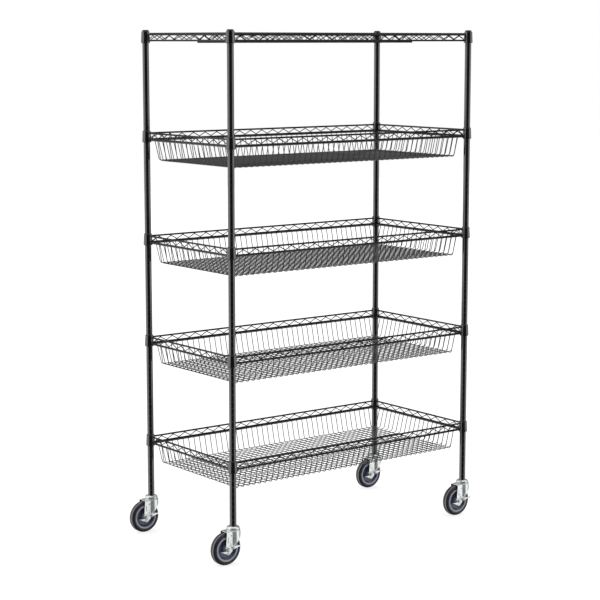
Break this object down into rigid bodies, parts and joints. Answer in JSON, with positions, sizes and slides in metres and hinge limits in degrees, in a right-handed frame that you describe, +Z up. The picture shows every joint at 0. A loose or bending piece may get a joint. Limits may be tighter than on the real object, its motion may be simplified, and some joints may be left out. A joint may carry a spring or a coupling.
{
  "type": "wire shelf cart",
  "caption": "Black wire shelf cart: deep wire baskets under a flat wire shelf on grooved posts, rolling on braked swivel casters.",
  "frame": {"origin": "on the floor, under the middle of the overall box of the cart with its casters trailing towards -X", "axes": "+X along the long sides towards the right end, +Y from the front long side to the rear one, +Z up"},
  "size_m": [1.3014, 0.6588, 2.0079],
  "materials": {
    "black_epoxy": "gloss black epoxy coat on steel tube and wire",
    "black_plastic": "moulded black plastic, light sheen",
    "zinc_plate": "bright zinc plate on pressed steel",
    "bright_steel": "bright plated steel",
    "wheel_core": "moulded slate blue plastic",
    "grey_tyre": "smooth charcoal tread",
    "bearing_nylon": "moulded nylon"
  },
  "bodies": {
    "cart": {"post_front_left": "black_epoxy", "post_front_right": "black_epoxy", "post_rear_left": "black_epoxy", "post_rear_right": "black_epoxy", "post_caps": "black_plastic", "split_sleeves": "black_plastic", "stem_sockets": "bright_steel", "caster_stems": "zinc_plate", "raceway_caps": "zinc_plate", "raceway_balls": "bright_steel", "flat_shelf_frame": "black_epoxy", "flat_shelf_deck": "black_epoxy", "flat_shelf_stiffener": "black_epoxy", "basket_1_frame": "black_epoxy", "basket_2_frame": "black_epoxy", "basket_3_frame": "black_epoxy", "basket_4_frame": "black_epoxy", "basket_1_sides": "black_epoxy", "basket_2_sides": "black_epoxy", "basket_3_sides": "black_epoxy", "basket_4_sides": "black_epoxy", "basket_1_floor": "black_epoxy", "basket_2_floor": "black_epoxy", "basket_3_floor": "black_epoxy", "basket_4_floor": "black_epoxy"},
    "fork_front_left": {"fork_front_left": "zinc_plate", "axle_bolt_front_left": "bright_steel", "axle_nut_front_left": "bright_steel", "axle_sleeve_front_left": "zinc_plate"},
    "wheel_front_left": {"wheel_bearing_front_left": "bearing_nylon", "wheel_core_front_left": "wheel_core", "tyre_front_left": "grey_tyre"},
    "lever_front_left": {"brake_lever_front_left": "zinc_plate"},
    "fork_front_right": {"fork_front_right": "zinc_plate", "axle_bolt_front_right": "bright_steel", "axle_nut_front_right": "bright_steel", "axle_sleeve_front_right": "zinc_plate"},
    "wheel_front_right": {"wheel_bearing_front_right": "bearing_nylon", "wheel_core_front_right": "wheel_core", "tyre_front_right": "grey_tyre"},
    "lever_front_right": {"brake_lever_front_right": "zinc_plate"},
    "fork_rear_left": {"fork_rear_left": "zinc_plate", "axle_bolt_rear_left": "bright_steel", "axle_nut_rear_left": "bright_steel", "axle_sleeve_rear_left": "zinc_plate"},
    "wheel_rear_left": {"wheel_bearing_rear_left": "bearing_nylon", "wheel_core_rear_left": "wheel_core", "tyre_rear_left": "grey_tyre"},
    "lever_rear_left": {"brake_lever_rear_left": "zinc_plate"},
    "fork_rear_right": {"fork_rear_right": "zinc_plate", "axle_bolt_rear_right": "bright_steel", "axle_nut_rear_right": "bright_steel", "axle_sleeve_rear_right": "zinc_plate"},
    "wheel_rear_right": {"wheel_bearing_rear_right": "bearing_nylon", "wheel_core_rear_right": "wheel_core", "tyre_rear_right": "grey_tyre"},
    "lever_rear_right": {"brake_lever_rear_right": "zinc_plate"}
  },
  "joints": [
    {"name": "swivel_front_left", "type": "hinge", "parent": "cart", "child": "fork_front_left", "pos_m": [-0.55125, -0.2736, 0.132], "axis": [0, 0, 1], "continuous": true},
    {"name": "wheel_spin_front_left", "type": "hinge", "parent": "fork_front_left", "child": "wheel_front_left", "pos_m": [-0.58725, -0.2736, 0.0635], "axis": [0, 1, 0], "continuous": true},
    {"name": "brake_front_left", "type": "hinge", "parent": "fork_front_left", "child": "lever_front_left", "pos_m": [-0.58725, -0.2736, 0.0635], "axis": [0, 1, 0], "range_deg": [0, 20]},
    {"name": "swivel_front_right", "type": "hinge", "parent": "cart", "child": "fork_front_right", "pos_m": [0.62275, -0.2736, 0.132], "axis": [0, 0, 1], "continuous": true},
    {"name": "wheel_spin_front_right", "type": "hinge", "parent": "fork_front_right", "child": "wheel_front_right", "pos_m": [0.58675, -0.2736, 0.0635], "axis": [0, 1, 0], "continuous": true},
    {"name": "brake_front_right", "type": "hinge", "parent": "fork_front_right", "child": "lever_front_right", "pos_m": [0.58675, -0.2736, 0.0635], "axis": [0, 1, 0], "range_deg": [0, 20]},
    {"name": "swivel_rear_left", "type": "hinge", "parent": "cart", "child": "fork_rear_left", "pos_m": [-0.55125, 0.3014, 0.132], "axis": [0, 0, 1], "continuous": true},
    {"name": "wheel_spin_rear_left", "type": "hinge", "parent": "fork_rear_left", "child": "wheel_rear_left", "pos_m": [-0.58725, 0.3014, 0.0635], "axis": [0, 1, 0], "continuous": true},
    {"name": "brake_rear_left", "type": "hinge", "parent": "fork_rear_left", "child": "lever_rear_left", "pos_m": [-0.58725, 0.3014, 0.0635], "axis": [0, 1, 0], "range_deg": [0, 20]},
    {"name": "swivel_rear_right", "type": "hinge", "parent": "cart", "child": "fork_rear_right", "pos_m": [0.62275, 0.3014, 0.132], "axis": [0, 0, 1], "continuous": true},
    {"name": "wheel_spin_rear_right", "type": "hinge", "parent": "fork_rear_right", "child": "wheel_rear_right", "pos_m": [0.58675, 0.3014, 0.0635], "axis": [0, 1, 0], "continuous": true},
    {"name": "brake_rear_right", "type": "hinge", "parent": "fork_rear_right", "child": "lever_rear_right", "pos_m": [0.58675, 0.3014, 0.0635], "axis": [0, 1, 0], "range_deg": [0, 20]}
  ]
}
